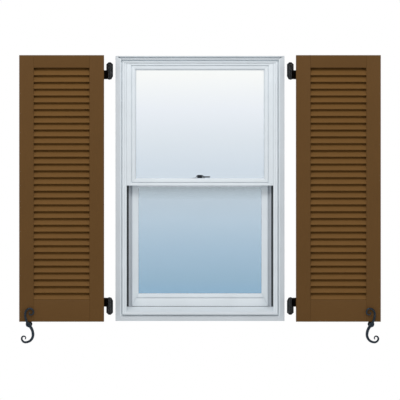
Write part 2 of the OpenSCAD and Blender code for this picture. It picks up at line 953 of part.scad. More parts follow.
module leaf(z)
    color(iron)
        difference() {
            union() {
                leaf_plate(z);
                translate([pin_x, -pin_out, z - leaf_h / 2])
                    cylinder(h = leaf_h, r = eye_r);
            }
            translate([pin_x, -pin_out, z - leaf_h / 2 - 1])
                cylinder(h = leaf_h + 2, r = pin_r + pin_clear);
            leaf_screw_holes(leaf_screw_r + 0.3);
        }

module leaf_screws()
    color(iron)
        for (z = [leaf_z_low, leaf_z_high])
            leaf_screw_places(z) {
                peg_y(0, 0, leaf_y - leaf_screw_l, leaf_y + leaf_t, leaf_screw_r);
                peg_y(0, 0, leaf_y + leaf_t, leaf_y + leaf_t + leaf_screw_head_t, leaf_screw_head_r);
            }

// Pintle for a leaf centred at z. It is drawn with its knuckle above, and turned over below.
module pintle(z, up)
    translate([pin_x, 0, z])
        mirror([0, 0, up > 0 ? 0 : 1]) {
            knuckle_low = leaf_h / 2 + leaf_lift;
            knuckle_high = knuckle_low + knuckle_h;
            through_y(-plate_t, 0)
                polygon([
                    [-plate_w / 2, plate_chamfer - leaf_h / 2], [plate_chamfer_w - plate_w / 2, -leaf_h / 2],
                    [plate_w / 2 - plate_chamfer_w, -leaf_h / 2], [plate_w / 2, plate_chamfer - leaf_h / 2],
                    [plate_w / 2, knuckle_high + plate_above - plate_shoulder], [5, knuckle_high + plate_above],
                    [-5, knuckle_high + plate_above], [-plate_w / 2, knuckle_high + plate_above - plate_shoulder]
                ]);
            block([-neck_w / 2, -pin_out, knuckle_low], [neck_w / 2, -plate_t / 2, knuckle_high]);
            translate([0, -pin_out, knuckle_low])
                cylinder(h = knuckle_h, r = eye_r);
            translate([0, -pin_out, -leaf_h / 2 - 3])
                cylinder(h = leaf_h + 6, r = pin_r);
        }

module pintle_screw_places(z, up)
    for (p = [
        [0, leaf_h / 2 + leaf_lift + knuckle_h + pintle_screw_head_r + 1.2],
        [-pintle_screw_x, pintle_screw_low - leaf_h / 2], [pintle_screw_x, pintle_screw_low - leaf_h / 2]
    ])
        translate([pin_x + p.x, 0, z + up * p.y])
            children();

module drilled_pintle(z, up)
    color(iron)
        difference() {
            pintle(z, up);
            pintle_screw_places(z, up)
                peg_y(0, 0, -plate_t - 1, 1, pintle_screw_r + pintle_hole_clear);
        }

module pintle_screws()
    color(iron)
        for (up = [-1, 1])
            pintle_screw_places(up > 0 ? leaf_z_high : leaf_z_low, up) {
                peg_y(0, 0, -plate_t, pintle_screw_l - plate_t, pintle_screw_r);
                peg_y(0, 0, -plate_t - pintle_screw_head_t, -plate_t, pintle_screw_head_r);
            }

// ---------------------------------------------------------------- dogs (drawn on the right)

function arc_points(p, h, arc) = [
    for (i = [1:arc[2]])
        let (a = h - arc[1] * i / arc[2])
            [p.x + arc[0] * (sin(h) - sin(a)), p.y - arc[0] * (cos(h) - cos(a)), a]
];

function arc_chain(p, arcs, i = 0) = i == len(arcs) ? [] :
    let (run = arc_points(p, p[2], arcs[i]))
        concat(run, arc_chain(run[len(run) - 1], arcs, i + 1));

function sided(path, widths, side) = [
    for (i = [0:len(path) - 1])
        let (w = widths[0] + (widths[1] - widths[0]) * i / (len(path) - 1))
            [path[i].x - side * sin(path[i][2]) * w / 2, path[i].y + side * cos(path[i][2]) * w / 2]
];

module tapered_bar(start, arcs, widths) {
    path = concat([[0, 0, start]], arc_chain([0, 0, start], arcs));
    tip = path[len(path) - 1];
    polygon(concat(sided(path, widths, 1), reversed(sided(path, widths, -1))));
    translate([tip.x, tip.y])
        circle(widths[1] / 2);
}

module at_dog()
    translate([dog_x, 0, dog_z])
        children();

module dog_post()
    color(iron)
        at_dog() {
            peg_y(0, 0, 0, lag_l, lag_r);
            peg_y(0, 0, -post_flange_t, 0, post_flange_r);
            peg_y(0, 0, dog_back + cap_gap, -post_flange_t, post_r);
            peg_y(0, 0, dog_back - dog_t - cap_gap - cap_t, dog_back + cap_gap, spigot_r);
        }

// The S is drawn for the left-hand shutter, so its shape is mirrored with the rest on the right
module dog_hook()
    color(iron)
        at_dog()
            difference() {
                union() {
                    translate([0, dog_back, 0])
                        rotate([90, 0, 0])
                            linear_extrude(dog_t)
                                mirror([1, 0]) {
                                    tapered_bar(upper_start, upper_arcs, upper_widths);
                                    tapered_bar(lower_start, lower_arcs, lower_widths);
                                }
                    peg_y(0, 0, dog_back - dog_t, dog_back, dog_boss_r);
                }
                peg_y(0, 0, dog_back - dog_t - 1, dog_back + 1, spigot_r + spigot_clear);
            }

module dog_cap()
    color(iron)
        at_dog()
            difference() {
                translate([0, dog_back - dog_t - cap_gap, 0])
                    rotate([90, 0, 0])
                        cylinder(h = cap_t, r = cap_r, $fn = 8);
                peg_y(0, 0, dog_back - dog_t - cap_gap - cap_t - 1, dog_back, spigot_r);
            }

// ---------------------------------------------------------------- named sides

module right_hinge_stile() hinge_stile();
module right_outer_stile() outer_stile();
module right_top_rail() rail(top_rail_z, top_rail_h, 0, 0);
module right_bottom_rail() rail(shutter_z, bottom_rail_h, weather_h, weather_d);
module right_louvres() louvres();
module right_upper_leaf() leaf(leaf_z_high);
module right_lower_leaf() leaf(leaf_z_low);
module right_leaf_screws() leaf_screws();
module right_upper_pintle() drilled_pintle(leaf_z_high, 1);
module right_lower_pintle() drilled_pintle(leaf_z_low, -1);
module right_pintle_screws() pintle_screws();
module right_dog_post() dog_post();
module right_dog_hook() dog_hook();
module right_dog_cap() dog_cap();

module left_hinge_stile() on_right() hinge_stile();
module left_outer_stile() on_right() outer_stile();
module left_top_rail() on_right() right_top_rail();
module left_bottom_rail() on_right() right_bottom_rail();
module left_louvres() on_right() louvres();
module left_upper_leaf() on_right() right_upper_leaf();
module left_lower_leaf() on_right() right_lower_leaf();
module left_leaf_screws() on_right() leaf_screws();
module left_upper_pintle() on_right() right_upper_pintle();
module left_lower_pintle() on_right() right_lower_pintle();
module left_pintle_screws() on_right() pintle_screws();
module left_dog_post() on_right() dog_post();
module left_dog_hook() on_right() dog_hook();
module left_dog_cap() on_right() dog_cap();

frame_head();
frame_sill();
frame_left_jamb();
frame_right_jamb();
upper_sash_top_rail();
upper_sash_meeting_rail();
upper_sash_left_stile();
upper_sash_right_stile();
upper_glazing_beads();
upper_outer_pane();
upper_inner_pane();
upper_pane_spacer();
lower_sash_meeting_rail();
lower_sash_bottom_rail();
lower_sash_left_stile();
lower_sash_right_stile();
lower_glazing_beads();
lower_outer_pane();
lower_inner_pane();
lower_pane_spacer();
meeting_rail_pile();
sill_bulb_seal();
track_seals();
left_balance_tube();
left_balance_rod();
left_balance_shoe();
right_balance_tube();
right_balance_rod();
right_balance_shoe();
sash_lock_base();
sash_lock_lever();
sash_lock_keeper();
left_hinge_stile();
left_outer_stile();
left_top_rail();
left_bottom_rail();
left_louvres();
left_upper_leaf();
left_lower_leaf();
left_leaf_screws();
right_hinge_stile();
right_outer_stile();
right_top_rail();
right_bottom_rail();
right_louvres();
right_upper_leaf();
right_lower_leaf();
right_leaf_screws();
left_upper_pintle();
left_lower_pintle();
left_pintle_screws();
right_upper_pintle();
right_lower_pintle();
right_pintle_screws();
left_dog_post();
left_dog_hook();
left_dog_cap();
right_dog_post();
right_dog_hook();
right_dog_cap();
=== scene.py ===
"""Louvred shutters beside a single-hung window: finishes, worked pieces, light and camera."""

import json
import math

import bmesh
import bpy
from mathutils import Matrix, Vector

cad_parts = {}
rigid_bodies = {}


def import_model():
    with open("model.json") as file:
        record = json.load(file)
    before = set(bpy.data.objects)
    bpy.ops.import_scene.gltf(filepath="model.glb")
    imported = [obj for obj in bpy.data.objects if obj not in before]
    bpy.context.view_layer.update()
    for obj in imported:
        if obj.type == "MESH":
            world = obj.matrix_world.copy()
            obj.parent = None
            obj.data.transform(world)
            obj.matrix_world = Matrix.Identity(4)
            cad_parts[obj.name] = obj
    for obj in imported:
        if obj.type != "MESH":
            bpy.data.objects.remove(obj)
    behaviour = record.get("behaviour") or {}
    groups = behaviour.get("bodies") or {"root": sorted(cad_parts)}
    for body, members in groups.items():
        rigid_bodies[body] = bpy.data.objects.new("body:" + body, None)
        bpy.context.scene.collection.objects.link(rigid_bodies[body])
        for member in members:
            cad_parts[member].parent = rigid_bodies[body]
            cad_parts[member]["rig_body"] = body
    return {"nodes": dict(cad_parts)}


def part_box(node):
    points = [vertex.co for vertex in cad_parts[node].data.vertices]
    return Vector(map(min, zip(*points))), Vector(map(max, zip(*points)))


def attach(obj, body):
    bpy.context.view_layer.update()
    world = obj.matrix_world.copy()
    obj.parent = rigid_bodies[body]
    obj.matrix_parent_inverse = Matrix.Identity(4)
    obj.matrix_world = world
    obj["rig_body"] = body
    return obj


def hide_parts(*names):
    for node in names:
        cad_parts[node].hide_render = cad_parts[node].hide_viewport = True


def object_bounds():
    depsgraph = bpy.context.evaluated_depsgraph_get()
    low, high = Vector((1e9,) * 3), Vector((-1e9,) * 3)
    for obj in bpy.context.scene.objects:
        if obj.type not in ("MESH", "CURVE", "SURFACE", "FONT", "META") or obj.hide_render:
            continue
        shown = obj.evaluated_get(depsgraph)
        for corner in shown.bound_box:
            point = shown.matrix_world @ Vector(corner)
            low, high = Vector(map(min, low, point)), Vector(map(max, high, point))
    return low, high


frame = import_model()
cad_low, cad_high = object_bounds()

bl_info = {
    "name": "Louvred shutters",
    "version": (1, 0, 0),
    "blender": (4, 5, 0),
    "location": "3D View > Sidebar > Shutters",
    "description": "Finishes and details a pair of louvred shutters with their window unit",
    "category": "Object",
}

MM = 0.001
SIDES = ("left", "right")

# Noise values lie mostly between these two, so ramps and ranges start and end there.
NOISE_LOW, NOISE_HIGH = 0.3, 0.7
# No stretch: a pattern that is as wide along each axis.
EVEN = (1, 1, 1)


def linear(hex_colour):
    """An sRGB hex colour as linear red, green and blue."""
    channels = [int(hex_colour[i : i + 2], 16) / 255 for i in (1, 3, 5)]
    return [c / 12.92 if c <= 0.04045 else ((c + 0.055) / 1.055) ** 2.4 for c in channels]


def opaque(rgb):
    """A colour with full alpha, as a node's colour socket takes it."""
    return (rgb[0], rgb[1], rgb[2], 1.0)


# ---------------------------------------------------------------- sizes and colours


def tint(name, hex_colour, description):
    return bpy.props.FloatVectorProperty(
        name=name, description=description, subtype="COLOR", size=3, min=0, max=1,
        default=linear(hex_colour),
    )


def length(name, millimetres, description):
    return bpy.props.FloatProperty(
        name=name, description=description, subtype="DISTANCE", unit="LENGTH", min=0,
        precision=4, default=millimetres * MM,
    )


def share(name, value, description):
    return bpy.props.FloatProperty(
        name=name, description=description, subtype="FACTOR", min=0, max=1, default=value
    )


class ShutterColours(bpy.types.PropertyGroup):
    stile_paint: tint("Frame paint", "#644623", "Paint on the stiles and rails")
    # Lighter than the frame paint, though louvres and frame carry one paint: painted light on the
    # louvres, which face up.
    louvre_lit_paint: tint("Louvre paint", "#745228", "Paint on the louvres")
    vinyl: tint("Vinyl", "#e3e9ed", "Window frame and sashes")
    flange: tint("Flange", "#cfd4d8", "Outer flange of the window frame")
    # Darker than the vinyl, though the sill is the same vinyl: painted shade on its upward slope.
    sill: tint("Sill", "#dae0e4", "Sloped sill of the window frame")
    # Darker than the vinyl, though the tracks are the same vinyl: painted shade deep in the lower
    # tracks.
    track: tint("Track", "#bcc1c7", "Liners of the lower sash's tracks")
    iron: tint("Iron", "#0b0c0e", "Powder coating on hinges and screws")
    forged: tint("Forged iron", "#343d46", "Blacked iron of the shutter dogs")
    lock: tint("Lock", "#242326", "Enamel on the sash lock")
    steel: tint("Zinc plate", "#b9bdc0", "Balance tubes and rods")
    spacer: tint("Spacer", "#c8cacb", "Aluminium strip between the panes")
    nylon: tint("Nylon", "#e3e1da", "Balance shoes")
    pile: tint("Pile", "#8b8f92", "Weatherstrip of the meeting rail")
    rubber: tint("Rubber", "#303336", "Seals in the tracks and under the lower sash")


class ShutterSizes(bpy.types.PropertyGroup):
    vinyl_arris: length("Vinyl arris", 0.7, "Rounding along the edges of the extrusions")
    flange_width: length("Flange width", 21, "Width of the duller flange round the frame")
    # This size and the next bound the fronts that get the painted shade of the lower tracks.
    track_reach: length("Track reach", 79, "How far the lower tracks show from each side")
    track_depth: length("Track depth", 20, "Depth behind the wall face where the tracks begin")
    timber_arris: length("Timber arris", 2.2, "Rounding along the edges of stiles and rails")
    iron_arris: length("Iron arris", 0.7, "Rounding along the edges of the hinges")
    lock_arris: length("Lock arris", 1.0, "Rounding along the edges of the sash lock")
    hammer_depth: length("Hammer marks", 0.55, "Depth of the hammer marks on the dogs")
    lag_pitch: length("Lag pitch", 3.4, "Distance between the turns of the lag's thread")
    rod_twist_pitch: length("Rod pitch", 38, "Length in which a balance rod turns once")


class StudioValues(bpy.types.PropertyGroup):
    key_power: bpy.props.FloatProperty(
        name="Key power", description="Power of the large lamp above the front", unit="POWER",
        default=156, min=0,
    )
    key_height: bpy.props.FloatProperty(
        name="Key height", description="Height of the large lamp above the horizon",
        subtype="ANGLE", default=math.radians(46),
    )
    surround: share("Surround", 0.45, "Light that comes from all round")
    floor: tint("Floor", "#eef0f1", "Plain studio floor")


def colours():
    return bpy.context.scene.shutter_colours


def sizes():
    return bpy.context.scene.shutter_sizes


# ---------------------------------------------------------------- nodes and materials


def add(tree, kind, settings=None, inputs=None):
    """Adds a node, sets its options, then sets or links its inputs."""
    made = tree.nodes.new(kind)
    for key, value in (settings or {}).items():
        setattr(made, key, value)
    for key, value in (inputs or {}).items():
        if isinstance(value, bpy.types.NodeSocket):
            tree.links.new(value, made.inputs[key])
        else:
            made.inputs[key].default_value = value
    return made


def new_material(name):
    """An empty node material and its tree."""
    material = bpy.data.materials.new(name)
    material.use_nodes = True
    material.node_tree.nodes.clear()
    return material, material.node_tree


def finish_material(tree, shader_output):
    add(tree, "ShaderNodeOutputMaterial", inputs={"Surface": shader_output})


def place(tree, scale):
    """Object coordinates, stretched by one scale along each axis."""
    where = add(tree, "ShaderNodeTexCoord")
    return add(
        tree, "ShaderNodeMapping", inputs={"Vector": where.outputs["Object"], "Scale": scale}
    ).outputs["Vector"]


def noise(tree, vector, scale, detail=3.0, roughness=0.5):
    return add(
        tree, "ShaderNodeTexNoise",
        inputs={"Vector": vector, "Scale": scale, "Detail": detail, "Roughness": roughness},
    ).outputs["Fac"]


def ramp(tree, value, stops):
    """A colour ramp over a value, from (position, linear colour) stops."""
    made = add(tree, "ShaderNodeValToRGB", inputs={"Fac": value})
    elements = made.color_ramp.elements
    while len(elements) < len(stops):
        elements.new(0.5)
    for element, (position, rgb) in zip(elements, stops):
        element.position = position
        element.color = opaque(rgb)
    return made.outputs["Color"]


def between(tree, value, low, high):
    """A colour ramp over a noise, from its low colour to its high one."""
    return ramp(tree, value, [(NOISE_LOW, low), (NOISE_HIGH, high)])


def spread(tree, value, low, high):
    """A noise brought to run from low to high."""
    return add(
        tree, "ShaderNodeMapRange",
        inputs={
            "Value": value, "From Min": NOISE_LOW, "From Max": NOISE_HIGH,
            "To Min": low, "To Max": high,
        },
    ).outputs["Result"]


def bump(tree, height, depth, strength=1.0):
    return add(
        tree, "ShaderNodeBump",
        inputs={"Height": height, "Distance": depth, "Strength": strength},
    ).outputs["Normal"]


def shade(rgb, factor):
    return [min(1.0, c * factor) for c in rgb]


def extruded_vinyl(name, rgb):
    """Rigid PVC, extruded: an even bluish white with a low sheen, and faint draw lines."""
    material, tree = new_material(name)
    base = list(rgb)
    cloudy = noise(tree, place(tree, EVEN), 9.0, 2.0)
    tone = between(tree, cloudy, shade(base, 0.975), shade(base, 1.02))
    fine = noise(tree, place(tree, EVEN), 900.0, 2.0)
    shader = add(
        tree, "ShaderNodeBsdfPrincipled",
        inputs={
            "Base Color": tone, "IOR": 1.53, "Specular IOR Level": 0.4,
            "Roughness": spread(tree, cloudy, 0.36, 0.44),
            "Normal": bump(tree, fine, 0.00004),
        },
    )
    finish_material(tree, shader.outputs["BSDF"])
    return material


def painted_timber(name, rgb, stretch):
    """Cedar under two coats of satin paint: an even film in which the grain shows faintly."""
    material, tree = new_material(name)
    base = list(rgb)
    # Grain lines about 2 mm apart, drawn out thirty times along the board.
    grain = noise(tree, place(tree, stretch), 1.0, 6.0, 0.6)
    broad = noise(tree, place(tree, EVEN), 5.0, 2.0)
    tone = between(tree, grain, shade(base, 0.93), shade(base, 1.06))
    dimmed = between(tree, broad, [0.95] * 3, [1.0] * 3)
    # A Mix node's colours are its inputs 6 and 7 and its output 2, which share names with others.
    mixed = add(
        tree, "ShaderNodeMix", {"data_type": "RGBA", "blend_type": "MULTIPLY"},
        {0: 1.0, 6: tone, 7: dimmed},
    ).outputs[2]
    brush = noise(tree, place(tree, stretch), 2.2, 2.0)
    height = add(
        tree, "ShaderNodeMath", {"operation": "MULTIPLY_ADD"}, {0: brush, 1: 0.4, 2: grain}
    ).outputs[0]
    shader = add(
        tree, "ShaderNodeBsdfPrincipled",
        inputs={
            "Base Color": mixed, "IOR": 1.5, "Specular IOR Level": 0.12,
            "Roughness": spread(tree, brush, 0.5, 0.62),
            "Normal": bump(tree, height, 0.00012),
        },
    )
    finish_material(tree, shader.outputs["BSDF"])
    return material


def coated_iron(name, rgb, metallic, roughness, grain_mm, grain_depth_mm):
    """Iron with a black coat: small grains in the film, and shine on the edges and rounds.

    roughness is its low and high value over the surface."""
    material, tree = new_material(name)
    base = list(rgb)
    grains = noise(tree, place(tree, EVEN), 1 / (grain_mm * MM), 3.0, 0.55)
    wear = noise(tree, place(tree, EVEN), 60.0, 4.0, 0.6)
    shader = add(
        tree, "ShaderNodeBsdfPrincipled",
        inputs={
            "Base Color": ramp(tree, wear, [(0.35, shade(base, 0.8)), (0.7, shade(base, 1.35))]),
            "Metallic": metallic,
            "Roughness": spread(tree, wear, *roughness),
            "Normal": bump(tree, grains, grain_depth_mm * MM),
        },
    )
    finish_material(tree, shader.outputs["BSDF"])
    return material


def drawn_metal(name, rgb, stretch):
    """Bright metal, roll-formed or drawn: fine lines along its length that break up the shine."""
    material, tree = new_material(name)
    lines = noise(tree, place(tree, stretch), 1.0, 3.0)
    shader = add(
        tree, "ShaderNodeBsdfPrincipled",
        inputs={
            "Base Color": between(tree, lines, shade(rgb, 0.85), shade(rgb, 1.05)),
            "Metallic": 1.0,
            "Roughness": spread(tree, lines, 0.26, 0.42),
            "Normal": bump(tree, lines, 0.00003),
        },
    )
    finish_material(tree, shader.outputs["BSDF"])
    return material


def moulded_nylon():
    """Injection-moulded nylon: milky, slightly clouded, with a soft sheen."""
    material, tree = new_material("moulded_nylon")
    base = list(colours().nylon)
    cloudy = noise(tree, place(tree, EVEN), 120.0, 2.0)
    shader = add(
        tree, "ShaderNodeBsdfPrincipled",
        inputs={
            "Base Color": between(tree, cloudy, shade(base, 0.94), base),
            "IOR": 1.53, "Subsurface Weight": 0.1, "Subsurface Radius": (0.002, 0.002, 0.002),
            "Roughness": spread(tree, cloudy, 0.4, 0.55),
        },
    )
    finish_material(tree, shader.outputs["BSDF"])
    return material


def woven_pile():
    """Polypropylene pile: matt upright tufts about a millimetre apart."""
    material, tree = new_material("woven_pile")
    base = list(colours().pile)
    tufts = noise(tree, place(tree, (1000, 1000, 120)), 1.0, 2.0)
    shader = add(
        tree, "ShaderNodeBsdfPrincipled",
        inputs={
            "Base Color": between(tree, tufts, shade(base, 0.55), shade(base, 1.1)),
            "Roughness": 0.95, "Sheen Weight": 0.4,
            "Normal": bump(tree, tufts, 0.0006),
        },
    )
    finish_material(tree, shader.outputs["BSDF"])
    return material


def extruded_rubber():
    """Extruded thermoplastic rubber: matt, with a dusty variation."""
    material, tree = new_material("extruded_rubber")
    base = list(colours().rubber)
    dust = noise(tree, place(tree, EVEN), 150.0, 4.0)
    shader = add(
        tree, "ShaderNodeBsdfPrincipled",
        inputs={
            "Base Color": between(tree, dust, shade(base, 0.85), shade(base, 1.1)),
            "Roughness": spread(tree, dust, 0.6, 0.8),
            "Normal": bump(tree, dust, 0.00008),
        },
    )
    finish_material(tree, shader.outputs["BSDF"])
    return material


def height_tinted_glass(name, stops, edge_ior):
    """Float glass that passes a tint which changes up the pane; the tint is painted and stands in
    for the sky's reflection and for shade.

    stops are (height in metres, sRGB hex) pairs, from the bottom of the pane to its top. Light
    crosses both faces of the pane, so each face passes the square root of the tint. edge_ior is
    below that of real glass, so that the reflection of the pale studio stays faint."""
    material, tree = new_material(name)
    low, high = stops[0][0], stops[-1][0]
    where = add(tree, "ShaderNodeTexCoord").outputs["Object"]
    height = add(tree, "ShaderNodeSeparateXYZ", inputs={"Vector": where}).outputs["Z"]
    along = add(
        tree, "ShaderNodeMapRange",
        inputs={"Value": height, "From Min": low, "From Max": high},
    ).outputs["Result"]
    passed = ramp(
        tree, along, [((z - low) / (high - low), [c ** 0.5 for c in linear(h)]) for z, h in stops]
    )
    through = add(tree, "ShaderNodeBsdfTransparent", inputs={"Color": passed})
    mirror = add(
        tree, "ShaderNodeBsdfGlossy", inputs={"Color": (0.9, 0.95, 1.0, 1.0), "Roughness": 0.02}
    )
    edge_on = add(tree, "ShaderNodeFresnel", inputs={"IOR": edge_ior}).outputs["Fac"]
    both = add(
        tree, "ShaderNodeMixShader",
        inputs={0: edge_on, 1: through.outputs["BSDF"], 2: mirror.outputs["BSDF"]},
    )
    finish_material(tree, both.outputs["Shader"])
    return material


# ---------------------------------------------------------------- shaping

# Degrees within which neighbouring triangles count as one flat face.
FLAT_WITHIN = 0.4


def clear_selection():
    """Leaves edit mode and deselects everything."""
    active = bpy.context.view_layer.objects.active
    if active is not None and active.mode != "OBJECT":
        bpy.ops.object.mode_set(mode="OBJECT")
    bpy.ops.object.select_all(action="DESELECT")


def take_up(piece):
    """Makes one piece the only selected and active object."""
    clear_selection()
    piece.hide_set(False)
    piece.select_set(True)
    bpy.context.view_layer.objects.active = piece


def merged_copy(node, name):
    """A CAD node's mesh as a new piece, its loose triangles joined and flat faces made whole."""
    piece = bpy.data.objects.new(name, frame["nodes"][node].data.copy())
    bpy.context.scene.collection.objects.link(piece)
    take_up(piece)
    bpy.ops.mesh.customdata_custom_splitnormals_clear()
    bpy.ops.object.mode_set(mode="EDIT")
    bpy.ops.mesh.select_all(action="SELECT")
    bpy.ops.mesh.remove_doubles(threshold=0.005 * MM)
    bpy.ops.mesh.dissolve_limited(angle_limit=math.radians(FLAT_WITHIN))
    bpy.ops.object.mode_set(mode="OBJECT")
    return piece


def select_edges(piece, wanted):
    """Selects, in edit mode, the edges whose two end points the test accepts."""
    bpy.ops.mesh.select_mode(type="EDGE")
    bpy.ops.mesh.select_all(action="DESELECT")
    shape = bmesh.from_edit_mesh(piece.data)
    for edge in shape.edges:
        edge.select = wanted(edge.verts[0].co, edge.verts[1].co)
    bmesh.update_edit_mesh(piece.data)


def shade_by_angle(piece, degrees):
    take_up(piece)
    bpy.ops.object.shade_smooth_by_angle(angle=math.radians(degrees))


def apply_all(piece):
    take_up(piece)
    for modifier in list(piece.modifiers):
        bpy.ops.object.modifier_apply(modifier=modifier.name)


def round_edges(piece, width, segments=2, angle=25):
    """Rounds every edge sharper than an angle."""
    soften = piece.modifiers.new("arris", "BEVEL")
    soften.width = width
    soften.segments = segments
    soften.limit_method = "ANGLE"
    soften.angle_limit = math.radians(angle)
    soften.use_clamp_overlap = False
    apply_all(piece)


def dress(piece, node, material):
    """Gives a piece its material, body and slot, and hides the CAD node that it stands for."""
    piece.data.materials.clear()
    piece.data.materials.append(material)
    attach(piece, frame["nodes"][node]["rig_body"])
    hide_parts(node)
    return piece


def paint_node(node, material):
    """Gives a CAD node that stays as it is a better material."""
    for holder in frame["nodes"][node].material_slots:
        holder.material = material


def tube_along(name, points, radius, sides=12):
    """A round bar through points, as a mesh."""
    curve = bpy.data.curves.new(name, "CURVE")
    curve.dimensions = "3D"
    curve.bevel_depth = radius
    curve.bevel_resolution = max(1, sides // 4 - 1)
    curve.use_fill_caps = True
    line = curve.splines.new("POLY")
    line.points.add(len(points) - 1)
    for point, co in zip(line.points, points):
        point.co = (co[0], co[1], co[2], 1)
    piece = bpy.data.objects.new(name, curve)
    bpy.context.scene.collection.objects.link(piece)
    take_up(piece)
    bpy.ops.object.convert(target="MESH")
    return bpy.context.view_layer.objects.active


# ---------------------------------------------------------------- pieces

VINYL_NODES = (
    "frame_head", "frame_sill", "frame_left_jamb", "frame_right_jamb",
    "upper_sash_left_stile", "upper_sash_right_stile", "upper_sash_top_rail",
    "upper_sash_meeting_rail", "lower_sash_left_stile", "lower_sash_right_stile",
    "lower_sash_bottom_rail", "lower_sash_meeting_rail", "upper_glazing_beads",
    "lower_glazing_beads",
)


# Material slots of a vinyl piece, after its own tone in slot 0: the flange's duller tone, then
# the painted shade of the tracks.
FLANGE_SLOT, TRACK_SHADE_SLOT = 1, 2


class OBJECT_OT_trim_vinyl(bpy.types.Operator):
    """Rounds the window's extrusions and gives them their vinyl"""

    bl_idname = "shutters.trim_vinyl"
    bl_label = "Window frame and sashes"

    def execute(self, context):
        vinyl = extruded_vinyl("extruded_vinyl", colours().vinyl)
        flange = extruded_vinyl("flange_vinyl", colours().flange)
        track = extruded_vinyl("track_shaded_vinyl", colours().track)
        sill = extruded_vinyl("sill_shaded_vinyl", colours().sill)
        for node in VINYL_NODES:
            piece = merged_copy(node, node + "_trimmed")
            round_edges(piece, sizes().vinyl_arris)
            shade_by_angle(piece, 35)
            # The sill gets a darker copy of the vinyl: painted shade on its sloped top.
            dress(piece, node, sill if node == "frame_sill" else vinyl)
            piece.data.materials.append(flange)
            piece.data.materials.append(track)
            self.tone_fronts(piece)
        return {"FINISHED"}

    def tone_fronts(self, piece):
        """Gives the fronts of the outer flange their duller tone, and the fronts of the lower
        tracks a painted shade.
        """
        low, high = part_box("frame_left_jamb")
        for face in piece.data.polygons:
            middle = face.center
            from_side = abs(low.x) - abs(middle.x)
            inwards = min(from_side, middle.z - low.z, high.z - middle.z)
            faces_outdoors = face.normal.y <= -0.5
            if not faces_outdoors:
                continue
            if inwards < sizes().flange_width:
                face.material_index = FLANGE_SLOT
            # Fronts deep in the lower tracks get the painted shade.
            elif from_side < sizes().track_reach and middle.y > sizes().track_depth:
                face.material_index = TRACK_SHADE_SLOT


class OBJECT_OT_glaze(bpy.types.Operator):
    """Gives the outer panes glass whose tint is a painted sky reflection and shade, the inner
    panes clear glass, and the spacers their aluminium
    """

    bl_idname = "shutters.glaze"
    bl_label = "Glass"

    def execute(self, context):
        # Heights in millimetres above the window's lower edge, with the tint seen there. The
        # tints are a painted reflection of the sky, and the darker top of the lower pane is a
        # painted shadow under the meeting rail.
        upper = self.tinted("upper_glass_painted_sky", "upper_outer_pane", (
            (720, "#d3dee8"), (862, "#dfe7ee"), (1005, "#ecf1f7"), (1171, "#fafcfb"),
        ))
        lower = self.tinted("lower_glass_painted_sky_and_shade", "lower_outer_pane", (
            (149, "#92b3cb"), (196, "#98b6cb"), (339, "#a7c0d3"), (482, "#b8cbda"),
            (577, "#bdccd8"), (615, "#aebbc4"), (634, "#a0abb2"),
        ))
        clear = height_tinted_glass("clear_glass", [(0.0, "#ffffff"), (1.0, "#ffffff")], edge_ior=1.2)
        spacer = drawn_metal("rolled_aluminium", colours().spacer, (60, 60, 60))
        paint_node("upper_outer_pane", upper)
        paint_node("lower_outer_pane", lower)
        paint_node("upper_inner_pane", clear)
        paint_node("lower_inner_pane", clear)
        paint_node("upper_pane_spacer", spacer)
        paint_node("lower_pane_spacer", spacer)
        return {"FINISHED"}

    def tinted(self, name, node, tints):
        """The painted tint of one outer pane, standing in for the sky's reflection; the first and
        last tints run on to the pane's edges.
        """
        low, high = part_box(node)
        inner = [(height * MM, hex_colour) for height, hex_colour in tints]
        stops = [(low.z, tints[0][1]), *inner, (high.z, tints[-1][1])]
        return height_tinted_glass(name, stops, edge_ior=1.25)


class OBJECT_OT_join_timber(bpy.types.Operator):
    """Rounds the arrises of stiles and rails, and paints them and the louvres"""

    bl_idname = "shutters.join_timber"
    bl_label = "Stiles, rails and louvres"

    def execute(self, context):
        upright = painted_timber("painted_stile", colours().stile_paint, (500, 500, 16))
        level = painted_timber("painted_rail", colours().stile_paint, (16, 500, 500))
        # The louvres get a lighter copy of the frame paint: painted light.
        slat = painted_timber("lit_painted_louvre", colours().louvre_lit_paint, (16, 500, 500))
        for side in SIDES:
            for part, material in (
                ("hinge_stile", upright), ("outer_stile", upright),
                ("top_rail", level), ("bottom_rail", level),
            ):
                node = f"{side}_{part}"
                piece = merged_copy(node, node + "_dressed")
                self.ease_arrises(piece, part.endswith("rail"))
                dress(piece, node, material)
            paint_node(f"{side}_louvres", slat)
        return {"FINISHED"}

    def ease_arrises(self, piece, is_rail):
        """Rounds only the long outside edges and the ends, so that housings stay crisp."""
        low, high = (Vector(c) for c in (piece.bound_box[0], piece.bound_box[6]))
        same = 0.05 * MM

        def at_face(co, axis):
            return min(abs(co[axis] - low[axis]), abs(co[axis] - high[axis])) < same

        def on_arris(a, b):
            shared = [
                axis for axis in range(3)
                if at_face(a, axis) and at_face(b, axis) and abs(a[axis] - b[axis]) < same
            ]
            if is_rail:
                # A rail shows its long edges; its ends run into the stiles as tenons.
                return 1 in shared and 2 in shared
            return len(shared) >= 2

        take_up(piece)
        bpy.ops.object.mode_set(mode="EDIT")
        select_edges(piece, on_arris)
        bpy.ops.mesh.bevel(offset=sizes().timber_arris, segments=3, profile=0.5)
        bpy.ops.object.mode_set(mode="OBJECT")
        shade_by_angle(piece, 35)


